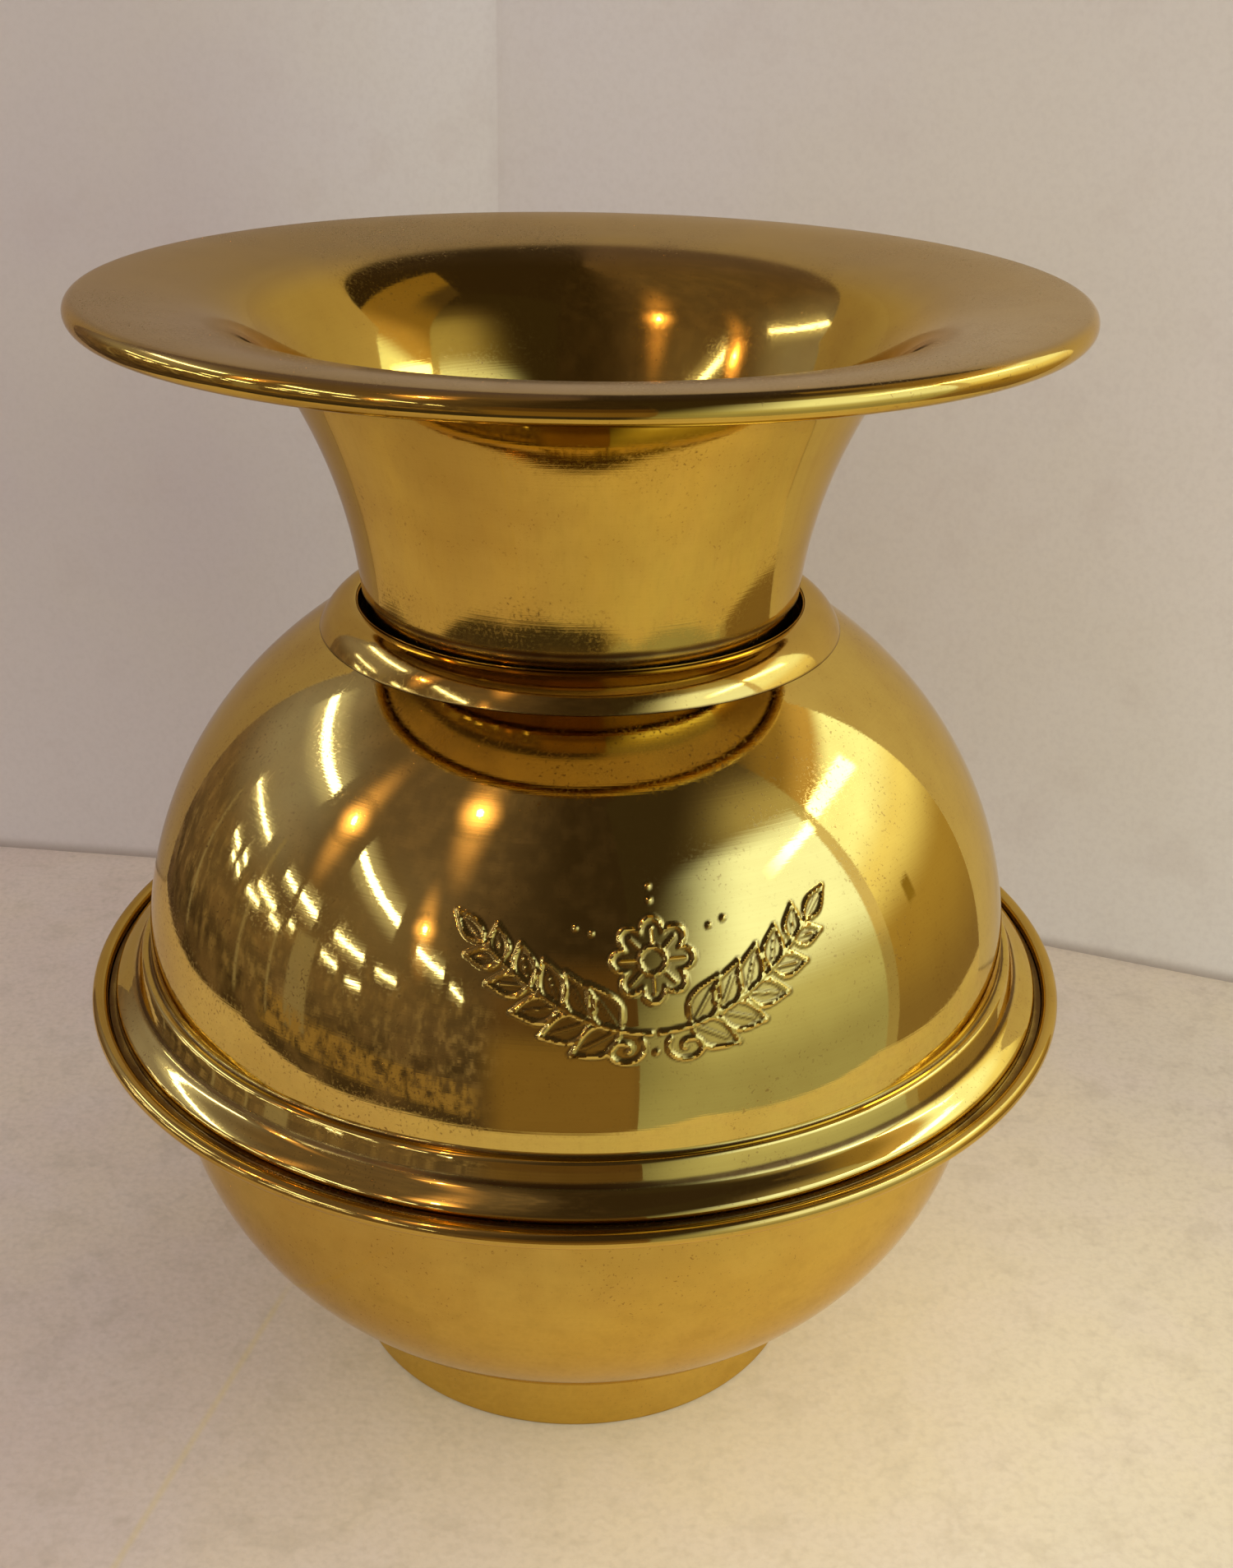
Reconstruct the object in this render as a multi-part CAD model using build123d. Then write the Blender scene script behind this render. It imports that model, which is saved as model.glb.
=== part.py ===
"""Brass spittoon spun from sheet: a weighted bowl on a foot, a lift-off dome and a lift-off mouth funnel.

Every spun piece is one sheet of even thickness. Its section is a chain of tangent arcs through a few
stations, each a radius, a height and a heading in degrees (0 outwards, 90 up, 180 inwards). The
stations lie on the sheet's right-hand side as one walks along it, and the metal is on the left.
"""
from build123d import *
from math import acos, asin, atan2, cos, degrees, hypot, radians, sin, sqrt
import os

# Sheet thicknesses, millimetres as are all lengths here
funnel_wall = 1.0
spigot_wall = 1.0
collar_wall = 1.0
dome_wall = 1.0
bowl_wall = 1.1
foot_wall = 1.1
plate_wall = 1.0

# Foot, base plate and ballast
foot_base_radius = 66.5
foot_taper = 1.3
foot_lip = 4.0
foot_corner = 1.5
plate_rim = 3.0
plate_corner = 1.6
plate_play = 0.25
ballast_play = 1.6
bedding = 0.25

# Lower bowl: an ellipse in section, flattened under the floor and flanged at the brim
bowl_floor_height = 12.0
bowl_floor_radius = 48.0
bowl_knee_radius = 60.0
bowl_knee_rise = 2.675
bowl_depth = 94.65
bowl_throat = 19.7
bowl_corner = 2.0
ledge_width = 15.9
ledge_corner = 0.5
ledge_depth = 1.8
brim_roll = 2.1
brim_roll_turn = 290.0

# Dome: an ellipse in section that stands on a flange with a shoulder, a swell, a cove and a thin ridge
dome_belly_radius = 118.7
dome_belly_rise = 13.2
dome_rise = 109.0
dome_corner = 0.9
ridge_reach = 1.3
ridge_rise = 12.6
ridge_curve = 1.4
ridge_lean = 112.0
cove_reach = 5.9
cove_rise = 5.65
cove_lean = 150.0
swell_reach = 7.9
swell_rise = 4.5
shoulder_reach = 10.3
shoulder_rise = 1.8
shoulder_fillet = 0.4
flange_lip = 1.9

# Collar: a soldered ring that rises from the dome, rolls over and goes down as the funnel's socket
collar_width = 9.2
collar_rise = 2.2
collar_foot_angle = 32.5
collar_lip = 1.4
collar_seat_width = 4.4
collar_seat_corner = 1.2
socket_depth = 12.8

# Mouth funnel and the spigot sleeve soldered into its neck
mouth_radius = 125.0
mouth_roll = 3.2
mouth_roll_turn = 285.0
funnel_height = 92.5
neck_radius = 56.48
flare_gain = 16.6
flare_height = 68.5
flare_power = 1.86
brim_width = 26.8
brim_drop = 3.9
brim_slope = 12.5
spigot_depth = 15.3
spigot_lap = 9.0
spigot_blend = 1.2
collar_play = 1.85

# Clearances: a soldered or lapped joint, a lift-off seat, and the run of cutters past what they cut
solder_gap = 0.1
seat_gap = 0.3
overrun = 3.0

# Numbers of stations along the longer curves
ellipse_spans = 4
flare_spans = 3
quarter_turn = 90.0

up, outwards, inwards = 90.0, 0.0, 180.0


def direction(heading):
    """Unit vector of a heading, as (radius, height)."""
    return cos(radians(heading)), sin(radians(heading))


def beside(station, distance):
    """The station moved to its left by a distance, with the same heading."""
    radius, height, heading = station
    along, rise = direction(heading)
    return radius - rise * distance, height + along * distance, heading


def biarc_joint(start, end):
    """The station where two tangent arcs of equal reach, one from each end, meet."""
    ahead, back = direction(start[2]), direction(end[2])
    across, lift = end[0] - start[0], end[1] - start[1]
    square = across ** 2 + lift ** 2
    bend = 2 * (1 - ahead[0] * back[0] - ahead[1] * back[1])
    pull = 2 * (across * (ahead[0] + back[0]) + lift * (ahead[1] + back[1]))
    if abs(bend) < 1e-9:
        reach = square / pull
    else:
        reach = (sqrt(pull ** 2 + 4 * bend * square) - pull) / (2 * bend)
    near = (start[0] + reach * ahead[0], start[1] + reach * ahead[1])
    far = (end[0] - reach * back[0], end[1] - reach * back[1])
    heading = degrees(atan2(far[1] - near[1], far[0] - near[0]))
    return (near[0] + far[0]) / 2, (near[1] + far[1]) / 2, heading


def is_straight(start, end):
    """True where the way from one station to the next keeps both headings."""
    along, rise = direction(start[2])
    across, lift = end[0] - start[0], end[1] - start[1]
    off_line = abs(along * lift - rise * across)
    turned = abs(sin(radians(end[2] - start[2])))
    return off_line < 1e-6 * hypot(across, lift) and turned < 1e-9


def smooth(stations):
    """The stations with the joints of their arcs put in between."""
    chain = [stations[0]]
    for start, end in zip(stations, stations[1:]):
        if not is_straight(start, end):
            chain.append(biarc_joint(start, end))
        chain.append(end)
    return chain


def point(station):
    return Vector(station[0], 0, station[1])


def path_edges(chain):
    """Lines and tangent arcs from station to station."""
    edges = []
    for start, end in zip(chain, chain[1:]):
        if is_straight(start, end):
            edges.append(Line(point(start), point(end)))
        else:
            along, rise = direction(start[2])
            edges.append(TangentArc(point(start), point(end), tangent=(along, 0, rise)))
    return edges


def spun_sheet(stations, wall):
    """A sheet of even thickness turned about the height axis."""
    right = smooth(stations)
    left = [beside(station, wall) for station in right]
    ends = [Line(point(right[0]), point(left[0])), Line(point(right[-1]), point(left[-1]))]
    section = make_face(path_edges(right) + path_edges(left) + ends)
    return revolve(section, Axis.Z, clean=False)


def turned_mass(stations, *corners):
    """A solid turned from the outline of some stations closed through plain corners."""
    chain = smooth(stations)
    loop = [point(chain[-1])] + [Vector(radius, 0, height) for radius, height in corners] + [point(chain[0])]
    closing = [Line(start, end) for start, end in zip(loop, loop[1:])]
    return revolve(make_face(path_edges(chain) + closing), Axis.Z, clean=False)


def rolled_edge(centre_radius, centre_height, inner_radius, start_angle, turn):
    """Stations of an edge rolled clockwise round a hollow core, a quarter turn at most apart."""
    quarters = int(turn // quarter_turn)
    angles = [quarter_turn * count for count in range(quarters + 1)]
    if turn > angles[-1]:
        angles.append(turn)
    stations = []
    for angle in angles:
        place = start_angle - angle
        along, rise = direction(place)
        stations.append((centre_radius + inner_radius * along, centre_height + inner_radius * rise,
                         place - quarter_turn))
    return stations


def ellipse_station(centre_radius, centre_height, reach, rise, angle):
    """Station on an ellipse walked anticlockwise, at its parameter angle in radians."""
    heading = degrees(atan2(rise * cos(angle), -reach * sin(angle)))
    return centre_radius + reach * cos(angle), centre_height + rise * sin(angle), heading


def ellipse_run(centre_radius, centre_height, reach, rise, first, last):
    steps = [first + (last - first) * count / ellipse_spans for count in range(ellipse_spans + 1)]
    return [ellipse_station(centre_radius, centre_height, reach, rise, angle) for angle in steps]


# Radii worked outwards from the dome's belly to the brim, and back in to the bowl's belly
shoulder_radius = dome_belly_radius + shoulder_reach
flange_radius = shoulder_radius + flange_lip
roll_inner_radius = flange_radius + seat_gap
brim_centre_radius = roll_inner_radius + brim_roll
ledge_outer_radius = roll_inner_radius - ledge_corner
bowl_belly_radius = roll_inner_radius - ledge_width

# Heights worked upwards from the bowl's floor
bowl_knee_height = bowl_floor_height + bowl_knee_rise
bowl_belly_height = bowl_knee_height + bowl_depth * sqrt(1 - (bowl_knee_radius / bowl_belly_radius) ** 2)
ledge_height = bowl_belly_height + bowl_throat
brim_centre_height = ledge_height + ledge_depth
flange_height = ledge_height + seat_gap + dome_wall
dome_belly_height = ledge_height + dome_belly_rise
dome_crown_height = dome_belly_height + dome_rise


def bowl_height_at(radius):
    """Height of the bowl's outer ellipse below the belly."""
    return bowl_belly_height - bowl_depth * sqrt(1 - (radius / bowl_belly_radius) ** 2)


def dome_height_at(radius):
    """Height of the dome's outer ellipse."""
    return dome_belly_height + dome_rise * sqrt(1 - (radius / dome_belly_radius) ** 2)


def neck_radius_at(height):
    """Outer radius of the funnel's neck, a power curve of the height above the funnel's seat."""
    return neck_radius + flare_gain * (height / flare_height) ** flare_power


def neck_heading_at(height):
    growth = flare_gain * flare_power / flare_height * (height / flare_height) ** (flare_power - 1)
    return degrees(atan2(1, growth))


# Sizes that pass from the funnel's neck to its spigot, the collar and the dome's opening
neck_foot_heading = neck_heading_at(spigot_depth)
spigot_radius = neck_radius_at(spigot_depth) - funnel_wall / sin(radians(neck_foot_heading)) - solder_gap
socket_radius = spigot_radius + collar_play
collar_crest_radius = socket_radius + collar_lip
collar_seam_radius = collar_crest_radius + collar_width
dome_opening_radius = socket_radius + collar_wall + solder_gap
collar_crest_height = dome_height_at(dome_opening_radius) + collar_rise
collar_height = collar_crest_height - dome_height_at(collar_seam_radius)
collar_seat_height = collar_crest_height - socket_depth
funnel_seat = collar_seat_height + seat_gap
mouth_height = funnel_seat + funnel_height


def bowl_outline():
    """The bowl's underside and outer wall, up to the corner under its flange."""
    knee = -acos(bowl_knee_radius / bowl_belly_radius)
    wall_top = ledge_height - bowl_wall - bowl_corner
    stations = [(0, bowl_floor_height, outwards), (bowl_floor_radius, bowl_floor_height, outwards)]
    stations += ellipse_run(0, bowl_belly_height, bowl_belly_radius, bowl_depth, knee, 0)
    return stations + [(bowl_belly_radius, wall_top, up)]


def make_lower_bowl():
    """Floor, belly, flange and the rolled brim that stands up round the flange's seat."""
    underside = ledge_height - bowl_wall
    inner_roll = brim_roll - bowl_wall
    stations = bowl_outline()
    stations.append((bowl_belly_radius + bowl_corner, underside, outwards))
    stations.append((ledge_outer_radius, underside, outwards))
    stations.append((roll_inner_radius + bowl_wall, ledge_height + ledge_corner, up))
    stations += rolled_edge(brim_centre_radius, brim_centre_height, inner_roll, inwards, brim_roll_turn)
    return spun_sheet(stations, bowl_wall)


def make_foot_ring():
    """Tapered band whose bottom edge turns in as a flat lip and whose top is scribed to the bowl."""
    lip_radius = foot_base_radius - foot_lip
    top_radius = foot_base_radius - foot_taper
    top_height = bowl_height_at(top_radius) + overrun
    lean = degrees(atan2(top_height - foot_corner, -foot_taper))
    stations = [(lip_radius, 0, outwards), (foot_base_radius - foot_corner, 0, outwards),
                (foot_base_radius, foot_corner, lean), (top_radius, top_height, lean)]
    band = spun_sheet(stations, foot_wall)
    outline = [beside(station, -solder_gap) for station in smooth(bowl_outline())]
    bowl_mass = turned_mass(outline, (0, outline[-1][1]))
    return band - bowl_mass


def foot_inner_radius(height):
    """Radius inside the foot's band at a height above the floor."""
    top_radius = foot_base_radius - foot_taper
    share = height / bowl_height_at(top_radius)
    return foot_base_radius - foot_taper * share - foot_wall


def make_base_plate():
    """Pressed pan that lies on the foot's lip, with its rim turned up inside the band."""
    bottom = foot_wall + bedding
    rim_top = bottom + plate_rim
    radius = foot_inner_radius(rim_top) - plate_play
    stations = [(0, bottom, outwards), (radius - plate_corner, bottom, outwards),
                (radius, bottom + plate_corner, up), (radius, rim_top, up)]
    return spun_sheet(stations, plate_wall)


def make_ballast():
    """Cast weight bedded between the base plate and the bowl's floor."""
    bottom = foot_wall + bedding + plate_wall + bedding
    top = bowl_floor_height - bedding
    plate_inner = foot_inner_radius(foot_wall + bedding + plate_rim) - plate_play - plate_wall
    radius = plate_inner - ballast_play
    disc = Cylinder(radius, top - bottom, align=(Align.CENTER, Align.CENTER, Align.MIN))
    disc = Pos(0, 0, bottom) * disc
    return fillet(disc.edges().filter_by(GeomType.CIRCLE), ballast_play)


def dome_outline():
    """The dome's show side from the flange's edge in over the shoulder, swell, cove and ridge to its top."""
    shoulder_foot = (shoulder_radius + shoulder_fillet, flange_height, inwards)
    shoulder = (shoulder_radius, flange_height + shoulder_fillet, up)
    shoulder_top = (shoulder_radius, flange_height + shoulder_rise, up)
    swell = (dome_belly_radius + swell_reach, flange_height + swell_rise, cove_lean)
    cove = (dome_belly_radius + cove_reach, flange_height + cove_rise, cove_lean)
    ridge_top = (dome_belly_radius + ridge_reach, flange_height + ridge_rise, inwards)
    back_of_ridge = ridge_lean - quarter_turn
    ridge = (ridge_top[0] + ridge_curve * cos(radians(back_of_ridge)),
             ridge_top[1] - ridge_curve * (1 - sin(radians(back_of_ridge))), ridge_lean)
    corner = (dome_belly_radius + dome_corner, ridge_top[1], inwards)
    wall_foot = asin((ridge_top[1] + dome_corner - dome_belly_height) / dome_rise)
    opening = acos((dome_opening_radius - overrun) / dome_belly_radius)
    return [(flange_radius, flange_height, inwards), shoulder_foot, shoulder, shoulder_top, swell, cove,
            ridge, ridge_top, corner] + ellipse_run(0, dome_belly_height, dome_belly_radius, dome_rise,
                                                    wall_foot, opening)


def dome_bore():
    """The straight bore that opens the dome's top."""
    bottom, top = flange_height - overrun, dome_crown_height + overrun
    bore = Cylinder(dome_opening_radius, top - bottom, align=(Align.CENTER, Align.CENTER, Align.MIN))
    return Pos(0, 0, bottom) * bore


def make_upper_dome():
    return spun_sheet(dome_outline(), dome_wall) - dome_bore()


def make_neck_collar():
    """Cushioned ring scribed to the dome, rolled over its lip and down to the funnel's seat."""
    reach = collar_width / cos(radians(collar_foot_angle))
    rise = collar_height / (1 - sin(radians(collar_foot_angle)))
    centre_height = collar_crest_height - rise
    sunk = asin((collar_crest_height - collar_height - overrun - centre_height) / rise)
    stations = ellipse_run(collar_crest_radius, centre_height, reach, rise, sunk, radians(quarter_turn))
    stations.append((socket_radius, collar_crest_height - collar_lip, -up))
    stations.append((socket_radius, collar_seat_height + collar_seat_corner, -up))
    stations.append((socket_radius - collar_seat_corner, collar_seat_height, inwards))
    stations.append((socket_radius - collar_seat_width, collar_seat_height, inwards))
    ring = spun_sheet(stations, collar_wall)
    outline = [beside(station, -solder_gap) for station in smooth(dome_outline())]
    dome_mass = turned_mass(outline, (outline[-1][0], flange_height), (outline[0][0], flange_height))
    return ring - (dome_mass - dome_bore())


def make_mouth_funnel():
    """Trumpet from a plain neck to a nearly flat brim, with its edge rolled under."""
    heights = [spigot_depth + (flare_height - spigot_depth) * count / flare_spans
               for count in range(flare_spans + 1)]
    stations = [(neck_radius_at(height), funnel_seat + height, neck_heading_at(height)) for height in heights]
    stations.append((mouth_radius - brim_width, mouth_height - brim_drop, brim_slope))
    inner_roll = mouth_roll - funnel_wall
    stations += rolled_edge(mouth_radius - mouth_roll, mouth_height - mouth_roll, inner_roll,
                            quarter_turn, mouth_roll_turn)
    return spun_sheet(stations, funnel_wall)


def make_neck_spigot():
    """Sleeve soldered into the neck's end; it stands on the collar's seat and carries the funnel."""
    lap_start = spigot_depth + spigot_blend
    lap_end = spigot_depth + spigot_lap
    stations = [(spigot_radius, funnel_seat, up), (spigot_radius, funnel_seat + spigot_depth - spigot_blend, up)]
    for height in (lap_start, lap_end):
        heading = neck_heading_at(height)
        neck = (neck_radius_at(height), funnel_seat + height, heading)
        stations.append(beside(neck, funnel_wall + solder_gap))
    return spun_sheet(stations, spigot_wall)


pieces = {
    "lower_bowl": make_lower_bowl,
    "foot_ring": make_foot_ring,
    "base_plate": make_base_plate,
    "ballast": make_ballast,
    "upper_dome": make_upper_dome,
    "neck_collar": make_neck_collar,
    "mouth_funnel": make_mouth_funnel,
    "neck_spigot": make_neck_spigot,
}

os.makedirs("parts", exist_ok=True)
for name, make in pieces.items():
    piece = make()
    piece.label = name
    export_step(piece, f"parts/{name}.step")
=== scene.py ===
"""A brass spittoon on a cream table in front of a pale board wall.

Every spun piece is one closed surface: a sheet's section, walked as a chain of tangent arcs through a
few stations, is carried round the height axis. A station is a radius, a height and a heading in degrees
(0 outwards, 90 up, 180 inwards), in millimetres, on the sheet's right-hand side as one walks along it;
the metal lies on the left.
"""
import math

import bpy
import numpy as np
from mathutils import Matrix, Vector


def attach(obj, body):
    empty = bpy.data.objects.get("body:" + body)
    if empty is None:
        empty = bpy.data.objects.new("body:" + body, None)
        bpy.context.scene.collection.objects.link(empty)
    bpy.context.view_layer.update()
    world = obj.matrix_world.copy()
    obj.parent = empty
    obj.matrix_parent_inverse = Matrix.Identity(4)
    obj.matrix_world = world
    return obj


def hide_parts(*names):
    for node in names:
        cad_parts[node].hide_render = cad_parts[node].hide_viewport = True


MM = 0.001
BLACK = (0.0, 0.0, 0.0)

# Sheets: dome, collar, funnel and spigot, then bowl and foot
upper_wall = 1.0
lower_wall = 1.1

# Foot
foot_base_radius = 66.5
foot_taper = 1.3
foot_lip = 4.0
foot_corner = 1.5

# Lower bowl
bowl_floor_height = 12.0
bowl_floor_radius = 48.0
bowl_knee_radius = 60.0
bowl_knee_rise = 2.675
bowl_depth = 94.65
bowl_throat = 19.7
bowl_corner = 2.0
ledge_width = 15.9
ledge_corner = 0.5
ledge_depth = 1.8
brim_roll = 2.1
brim_roll_turn = 290.0

# Dome
dome_belly_radius = 118.7
dome_belly_rise = 13.2
dome_rise = 109.0
dome_corner = 0.9
ridge_reach = 1.3
ridge_rise = 12.6
ridge_curve = 1.4
ridge_lean = 112.0
cove_reach = 5.9
cove_rise = 5.65
cove_lean = 150.0
swell_reach = 7.9
swell_rise = 4.5
shoulder_reach = 10.3
shoulder_rise = 1.8
shoulder_fillet = 0.4
flange_lip = 1.9

# Collar
collar_width = 9.2
collar_rise = 2.2
collar_foot_angle = 32.5
collar_lip = 1.4
collar_seat_width = 4.4
collar_seat_corner = 1.2
socket_depth = 12.8
collar_play = 1.85

# Mouth funnel and its spigot
mouth_radius = 125.0
mouth_roll = 3.2
mouth_roll_turn = 285.0
funnel_height = 92.5
neck_radius = 56.87
flare_gain = 16.9
flare_height = 68.5
flare_power = 2.2
brim_width = 26.8
brim_drop = 3.9
brim_slope = 12.5
spigot_depth = 15.3
spigot_lap = 9.0
spigot_blend = 1.2

solder_gap = 0.1
seat_gap = 0.3

# How far a section runs on past the piece that cuts it, and the step along each section
overrun = 3.0
bowl_step = 2.0
foot_step = 0.9
dome_step = 2.6
collar_step = 0.6
funnel_step = 1.6
spigot_step = 1.0

# Columns round the axis for the large, middling and small pieces
wide_columns = 288
collar_columns = 256
narrow_columns = 224

# Headings in degrees
OUT = 0.0
UP = 90.0
IN = 180.0
DOWN = -90.0


# Sections

def unit(heading):
    """Direction of a heading as (radius, height)."""
    angle = math.radians(heading)
    return math.cos(angle), math.sin(angle)


def beside(station, distance):
    """The station moved to its left by a distance."""
    radius, height, heading = station
    along, rise = unit(heading)
    return radius - rise * distance, height + along * distance, heading


def biarc_joint(start, end):
    """Where two tangent arcs of equal reach meet: the reach d solves |chord - d(t1 + t2)| = 2d."""
    ahead = unit(start[2])
    back = unit(end[2])
    across = end[0] - start[0]
    lift = end[1] - start[1]
    square = across ** 2 + lift ** 2
    bend = 2 * (1 - ahead[0] * back[0] - ahead[1] * back[1])
    pull = 2 * (across * (ahead[0] + back[0]) + lift * (ahead[1] + back[1]))
    if abs(bend) < 1e-9:
        reach = square / pull
    else:
        reach = (math.sqrt(pull ** 2 + 4 * bend * square) - pull) / (2 * bend)
    near = (start[0] + reach * ahead[0], start[1] + reach * ahead[1])
    far = (end[0] - reach * back[0], end[1] - reach * back[1])
    heading = math.degrees(math.atan2(far[1] - near[1], far[0] - near[0]))
    return (near[0] + far[0]) / 2, (near[1] + far[1]) / 2, heading


def is_straight(start, end):
    """True where the way from one station to the next keeps both headings."""
    along, rise = unit(start[2])
    across, lift = end[0] - start[0], end[1] - start[1]
    off_line = abs(along * lift - rise * across)
    turned = abs(math.sin(math.radians(end[2] - start[2])))
    return off_line < 1e-6 * math.hypot(across, lift) and turned < 1e-9


def walk(stations, step, finest_turn=9.0):
    """Points along the chain of arcs: rows of radius, height and heading.

    On an arc that starts at heading a and turns by T over a length L, the point at share s is the start
    plus L/T times (sin(a + sT) - sin a, cos a - cos(a + sT)).
    """
    chain = [stations[0]]
    for start, end in zip(stations, stations[1:]):
        if not is_straight(start, end):
            chain.append(biarc_joint(start, end))
        chain.append(end)
    rows = [np.array([chain[0]])]
    for start, end in zip(chain, chain[1:]):
        across, lift = end[0] - start[0], end[1] - start[1]
        chord = math.hypot(across, lift)
        swing = math.degrees(math.atan2(lift, across)) - start[2]
        turn = 2 * ((swing + 180) % 360 - 180)
        bent = abs(turn) > 1e-6
        half = math.radians(turn) / 2
        length = chord * half / math.sin(half) if bent else chord
        count = max(1, math.ceil(length / step), math.ceil(abs(turn) / finest_turn))
        share = np.arange(1, count + 1) / count
        first, angle = math.radians(start[2]), math.radians(turn) * share
        if bent:
            scale = length / math.radians(turn)
            radius = start[0] + scale * (np.sin(first + angle) - math.sin(first))
            height = start[1] + scale * (math.cos(first) - np.cos(first + angle))
        else:
            radius, height = start[0] + across * share, start[1] + lift * share
        rows.append(np.stack([radius, height, start[2] + turn * share], 1))
    return np.concatenate(rows)


def sides_of(stations, wall, step):
    """Both skins of a sheet as rows of radius and height, the right one first."""
    rows = walk(stations, step)
    angle = np.radians(rows[:, 2])
    left = np.stack([rows[:, 0] - wall * np.sin(angle), rows[:, 1] + wall * np.cos(angle)], 1)
    return rows[:, :2], left


def trim(points, beyond):
    """Cuts a run of points where the value beyond passes zero, keeping the positive part."""
    value = beyond(points)
    kept = value >= 0
    crossings = np.flatnonzero(kept[1:] != kept[:-1])
    cut = [points[i] + (points[i + 1] - points[i]) * value[i] / (value[i] - value[i + 1])
           for i in crossings]
    inner = points[kept]
    if kept[0]:
        return np.concatenate([inner, cut])
    return np.concatenate([cut[:1], inner])


def rolled_edge(centre_radius, centre_height, inner_radius, start_angle, turn):
    """Stations of an edge rolled clockwise round a hollow core, a quarter turn at most apart."""
    angles = [90.0 * count for count in range(int(turn // 90.0) + 1)]
    if turn > angles[-1]:
        angles.append(turn)
    stations = []
    for angle in angles:
        along, rise = unit(start_angle - angle)
        stations.append((centre_radius + inner_radius * along, centre_height + inner_radius * rise,
                         start_angle - angle - 90.0))
    return stations


def ellipse_run(centre_height, reach, rise, first, last, centre_radius=0.0, spans=4):
    """Stations at even parameter angles on an ellipse walked anticlockwise."""
    stations = []
    for angle in np.linspace(first, last, spans + 1):
        heading = math.degrees(math.atan2(rise * math.cos(angle), -reach * math.sin(angle)))
        stations.append((centre_radius + reach * math.cos(angle), centre_height + rise * math.sin(angle),
                         heading))
    return stations


# Radii worked outwards from the dome's belly to the brim, and back in to the bowl's belly
shoulder_radius = dome_belly_radius + shoulder_reach
flange_radius = shoulder_radius + flange_lip
roll_inner_radius = flange_radius + seat_gap
brim_centre_radius = roll_inner_radius + brim_roll
ledge_outer_radius = roll_inner_radius - ledge_corner
bowl_belly_radius = roll_inner_radius - ledge_width

# Heights worked upwards from the bowl's floor
bowl_knee_height = bowl_floor_height + bowl_knee_rise
knee_share = bowl_knee_radius / bowl_belly_radius
bowl_belly_height = bowl_knee_height + bowl_depth * math.sqrt(1 - knee_share ** 2)
ledge_height = bowl_belly_height + bowl_throat
brim_centre_height = ledge_height + ledge_depth
flange_height = ledge_height + seat_gap + upper_wall
dome_belly_height = ledge_height + dome_belly_rise


def bowl_height_at(radius):
    return bowl_belly_height - bowl_depth * np.sqrt(1 - (radius / bowl_belly_radius) ** 2)


def dome_height_at(radius):
    return dome_belly_height + dome_rise * np.sqrt(1 - (radius / dome_belly_radius) ** 2)


def neck_radius_at(height):
    return neck_radius + flare_gain * (height / flare_height) ** flare_power


def neck_heading_at(height):
    growth = flare_gain * flare_power / flare_height * (height / flare_height) ** (flare_power - 1)
    return math.degrees(math.atan2(1, growth))


spigot_radius = (neck_radius_at(spigot_depth) - solder_gap
                 - upper_wall / math.sin(math.radians(neck_heading_at(spigot_depth))))
socket_radius = spigot_radius + collar_play
collar_crest_radius = socket_radius + collar_lip
collar_seam_radius = collar_crest_radius + collar_width
dome_opening_radius = socket_radius + upper_wall + solder_gap
collar_crest_height = float(dome_height_at(dome_opening_radius)) + collar_rise
collar_height = collar_crest_height - float(dome_height_at(collar_seam_radius))
collar_seat_height = collar_crest_height - socket_depth
funnel_seat = collar_seat_height + seat_gap
mouth_height = funnel_seat + funnel_height


def neck_station(height):
    """The neck's outside at a height above the funnel's seat."""
    return neck_radius_at(height), funnel_seat + height, neck_heading_at(height)


def bowl_sides():
    """The bowl from the middle of its floor over the ledge into its rolled brim."""
    underside = ledge_height - lower_wall
    knee = -math.acos(knee_share)
    stations = [(0.0, bowl_floor_height, OUT), (bowl_floor_radius, bowl_floor_height, OUT)]
    stations += ellipse_run(bowl_belly_height, bowl_belly_radius, bowl_depth, knee, 0.0)
    stations += [(bowl_belly_radius, underside - bowl_corner, UP),
                 (bowl_belly_radius + bowl_corner, underside, OUT),
                 (ledge_outer_radius, underside, OUT),
                 (roll_inner_radius + lower_wall, ledge_height + ledge_corner, UP)]
    stations += rolled_edge(brim_centre_radius, brim_centre_height, brim_roll - lower_wall, IN,
                            brim_roll_turn)
    return sides_of(stations, lower_wall, bowl_step)


def foot_sides():
    """The tapered band, cut off where it meets the bowl."""
    top_radius = foot_base_radius - foot_taper
    top_height = float(bowl_height_at(top_radius)) + overrun
    lean = math.degrees(math.atan2(top_height - foot_corner, -foot_taper))
    stations = [(foot_base_radius - foot_lip, 0.0, OUT), (foot_base_radius - foot_corner, 0.0, OUT),
                (foot_base_radius, foot_corner, lean), (top_radius, top_height, lean)]

    def under_bowl(points):
        underside = bowl_height_at(np.minimum(points[:, 0], bowl_belly_radius))
        return underside - 1.15 * solder_gap - points[:, 1]
    return [trim(side, under_bowl) for side in sides_of(stations, lower_wall, foot_step)]


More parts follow.
